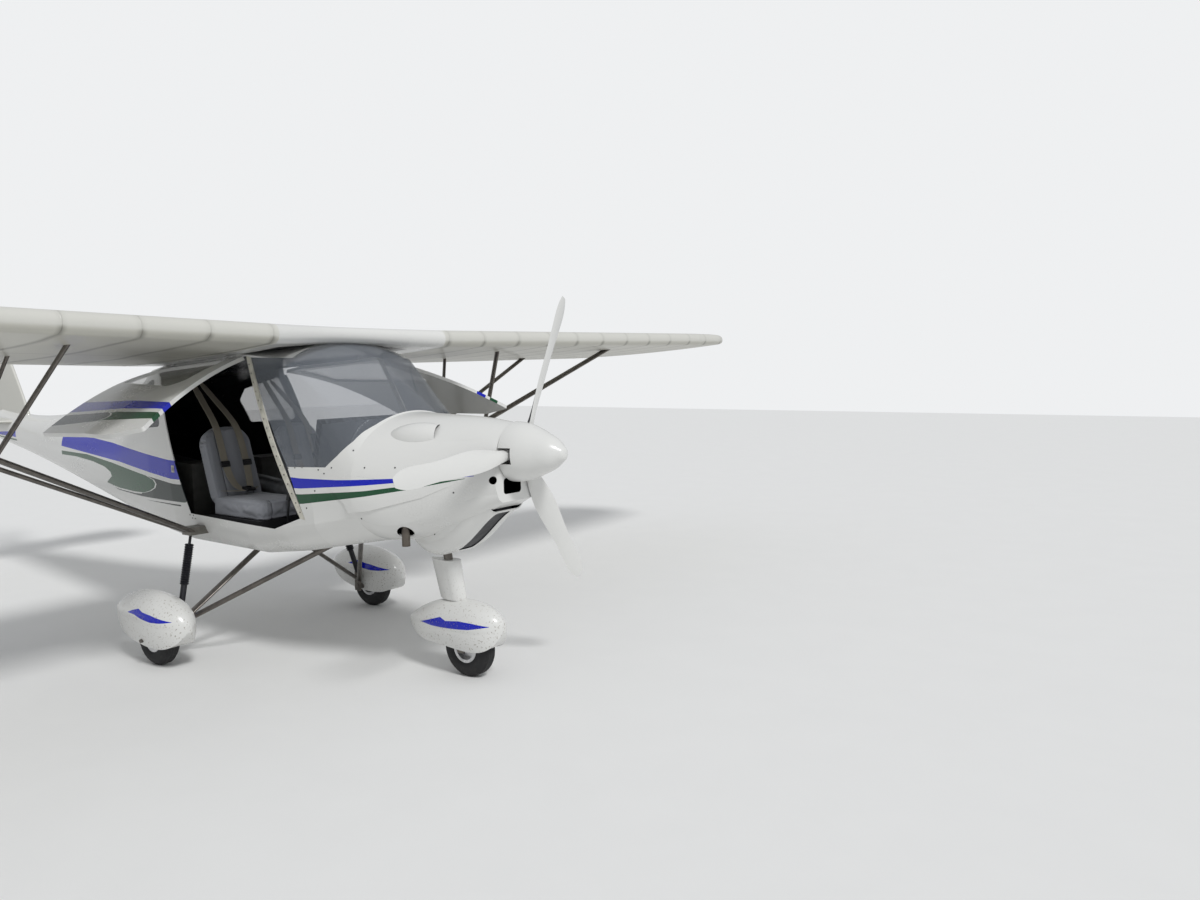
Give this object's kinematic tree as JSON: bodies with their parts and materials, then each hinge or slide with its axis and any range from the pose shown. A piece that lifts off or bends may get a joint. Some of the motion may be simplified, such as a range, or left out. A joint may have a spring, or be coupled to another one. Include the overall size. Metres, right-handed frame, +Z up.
{
  "type": "microlight aircraft",
  "caption": "High-wing microlight aircraft with strut-braced wings, spatted nose-wheel undercarriage, tractor propeller and upward-hinged cabin doors, parked with its doors open.",
  "frame": {"origin": "ground level under the middle of the aircraft's bounding box", "axes": "+X forward to the propeller, +Y to port, the pilot's left, along the span, +Z up"},
  "size_m": [6.2209, 9.45, 2.34],
  "materials": {
    "white_shell": "gloss white moulded shell",
    "wing_fabric": "cream-white covering, doped, slightly translucent",
    "glazing": "clear polycarbonate",
    "strut_metal": "weathered dark anodised",
    "leg_metal": "weathered grey-brown paint",
    "frame_metal": "satin",
    "trim_strip": "cream paint",
    "dark_panel": "matt black",
    "seat_fabric": "light grey padded cover",
    "tank_plastic": "translucent white",
    "engine_metal": "dark cast",
    "exhaust_steel": "heat-stained",
    "shock_metal": "black, with a rubber gaiter",
    "blade_white": "gloss white",
    "rim_metal": "satin silver",
    "tyre_rubber": "matt black"
  },
  "bodies": {
    "airframe": {"main_tube": "frame_metal", "firewall": "frame_metal", "instrument_panel": "dark_panel", "seat_pans": "dark_panel", "seat_cushion_right": "seat_fabric", "seat_cushion_left": "seat_fabric", "fuel_tanks": "tank_plastic", "control_stick": "dark_panel", "throttle_levers": "dark_panel", "strut_fittings": "frame_metal", "rudder_pedals": "frame_metal", "engine_block": "engine_metal", "radiator": "engine_metal", "exhaust": "exhaust_steel", "windscreen": "glazing", "door_posts": "trim_strip", "cabin_roof": "white_shell", "cowl_lower": "white_shell", "cowl_upper": "white_shell", "cabin_tub": "white_shell", "rear_windows": "glazing", "rear_fuselage": "white_shell", "wing_right": "wing_fabric", "wing_left": "wing_fabric", "wing_struts_right": "strut_metal", "wing_struts_left": "strut_metal", "main_leg_right": "leg_metal", "main_leg_left": "leg_metal", "shock_strut_right": "shock_metal", "shock_strut_left": "shock_metal", "main_spat_right": "white_shell", "main_spat_left": "white_shell", "nose_leg_socket": "frame_metal", "fin": "wing_fabric", "tailplane_right": "wing_fabric", "tailplane_left": "wing_fabric"},
    "propeller": {"propeller_blades": "blade_white", "propeller_hub": "frame_metal", "spinner": "white_shell"},
    "nose_gear": {"nose_fork": "leg_metal", "nose_spat": "white_shell", "nose_leg_fairing": "white_shell"},
    "nose_wheel": {"rim_nose": "rim_metal", "tyre_nose": "tyre_rubber"},
    "wheel_right": {"rim_right": "rim_metal", "tyre_right": "tyre_rubber"},
    "wheel_left": {"rim_left": "rim_metal", "tyre_left": "tyre_rubber"},
    "flap_r": {"flap_right": "wing_fabric"},
    "flap_l": {"flap_left": "wing_fabric"},
    "aileron_r": {"aileron_right": "wing_fabric"},
    "aileron_l": {"aileron_left": "wing_fabric"},
    "rudder_body": {"rudder": "wing_fabric"},
    "elevator_body": {"elevator": "wing_fabric"},
    "right_door": {"door_right": "white_shell", "door_window_right": "glazing"},
    "left_door": {"door_left": "white_shell", "door_window_left": "glazing"}
  },
  "joints": [
    {"name": "propeller_spin", "type": "hinge", "parent": "airframe", "child": "propeller", "pos_m": [2.825, 0, 1.212], "axis": [1, 0, 0], "continuous": true},
    {"name": "wheel_right_spin", "type": "hinge", "parent": "airframe", "child": "wheel_right", "pos_m": [0.841, -0.788, 0.155], "axis": [0, 1, 0], "continuous": true},
    {"name": "wheel_left_spin", "type": "hinge", "parent": "airframe", "child": "wheel_left", "pos_m": [0.841, 0.788, 0.155], "axis": [0, 1, 0], "continuous": true},
    {"name": "nose_steer", "type": "hinge", "parent": "airframe", "child": "nose_gear", "pos_m": [2.303, 0, 0.64], "axis": [-0.23, 0, 0.9732], "range_deg": [-20, 20]},
    {"name": "nose_wheel_spin", "type": "hinge", "parent": "nose_gear", "child": "nose_wheel", "pos_m": [2.45, 0, 0.155], "axis": [0, 1, 0], "continuous": true},
    {"name": "flap_right_hinge", "type": "hinge", "parent": "airframe", "child": "flap_r", "pos_m": [0.585, -0.9, 1.71238], "axis": [0, -0.9998, 0.0192], "range_deg": [0, 25]},
    {"name": "flap_left_hinge", "type": "hinge", "parent": "airframe", "child": "flap_l", "pos_m": [0.585, 0.9, 1.71238], "axis": [0, -0.9998, -0.0192], "range_deg": [0, 25]},
    {"name": "aileron_right_hinge", "type": "hinge", "parent": "airframe", "child": "aileron_r", "pos_m": [0.585, -2.6, 1.74502], "axis": [0, -0.9998, 0.0192], "range_deg": [-20, 20]},
    {"name": "aileron_left_hinge", "type": "hinge", "parent": "airframe", "child": "aileron_l", "pos_m": [0.585, 2.6, 1.74502], "axis": [0, -0.9998, -0.0192], "range_deg": [-20, 20]},
    {"name": "rudder_hinge", "type": "hinge", "parent": "airframe", "child": "rudder_body", "pos_m": [-2.72163, 0, 1.42], "axis": [-0.1659, 0, 0.9861], "range_deg": [-25, 25]},
    {"name": "elevator_hinge", "type": "hinge", "parent": "airframe", "child": "elevator_body", "pos_m": [-2.62, 0, 1.255], "axis": [0, -1, 0], "range_deg": [-25, 25]},
    {"name": "door_right_hinge", "type": "hinge", "parent": "airframe", "child": "right_door", "pos_m": [0.405, -0.462, 1.658], "axis": [-0.9974, 0.0192, -0.0688], "range_deg": [-65, 0]},
    {"name": "door_left_hinge", "type": "hinge", "parent": "airframe", "child": "left_door", "pos_m": [0.405, 0.462, 1.658], "axis": [0.9974, 0.0192, 0.0688], "range_deg": [-65, 0]}
  ],
  "couplings": [
    {"joint": "flap_left_hinge", "follows": "flap_right_hinge", "ratio": 1},
    {"joint": "aileron_left_hinge", "follows": "aileron_right_hinge", "ratio": -1}
  ]
}
